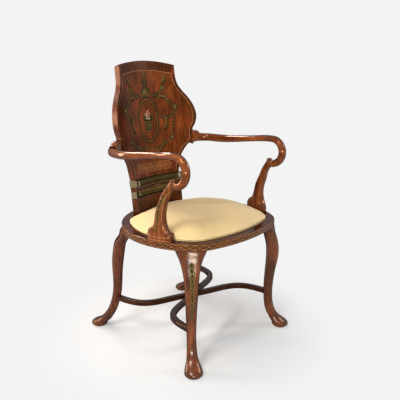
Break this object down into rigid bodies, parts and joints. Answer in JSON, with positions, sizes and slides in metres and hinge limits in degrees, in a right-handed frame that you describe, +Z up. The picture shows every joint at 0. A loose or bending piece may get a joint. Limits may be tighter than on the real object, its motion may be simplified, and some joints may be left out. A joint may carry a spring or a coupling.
{
  "type": "open armchair",
  "caption": "Wooden armchair with a round drop-in seat, a curved splat back on mouldings, crook arms, cabriole legs and crossed S-shaped stretchers.",
  "frame": {"origin": "on the floor, in the middle between the feet", "axes": "+Z up, the front of the chair faces -Y, X = 0 is the plane of symmetry"},
  "size_m": [0.562, 0.5867, 1.0059],
  "materials": {
    "mahogany": "gloss",
    "beech": "matte",
    "seat_fabric": "matte",
    "webbing": "matte",
    "stuffing": "matte",
    "steel": "satin"
  },
  "bodies": {
    "chair": {"arm_dowels": "beech", "arm_left": "mahogany", "arm_right": "mahogany", "arm_support_left": "mahogany", "arm_support_right": "mahogany", "back_bead": "mahogany", "back_cove": "mahogany", "back_panel": "mahogany", "back_plinth": "mahogany", "back_roll": "mahogany", "crook_dowels": "beech", "knee_brackets_back_left": "mahogany", "knee_brackets_back_right": "mahogany", "knee_brackets_front_left": "mahogany", "knee_brackets_front_right": "mahogany", "leg_back_left": "mahogany", "leg_back_right": "mahogany", "leg_front_left": "mahogany", "leg_front_right": "mahogany", "seat_rail_back": "mahogany", "seat_rail_front": "mahogany", "seat_rail_left": "mahogany", "seat_rail_right": "mahogany", "stretcher_lower": "mahogany", "stretcher_screw": "steel", "stretcher_upper": "mahogany", "support_screws": "steel"},
    "drop_in_seat": {"seat_cover": "seat_fabric", "seat_frame_back": "beech", "seat_frame_front": "beech", "seat_frame_left": "beech", "seat_frame_right": "beech", "seat_hessian": "webbing", "seat_stuffing": "stuffing", "seat_tacks": "steel", "seat_webbing": "webbing"}
  },
  "joints": [
    {"name": "seat_lift", "type": "slide", "parent": "chair", "child": "drop_in_seat", "axis": [0, 0, 1], "range_m": [0, 0.12]}
  ]
}
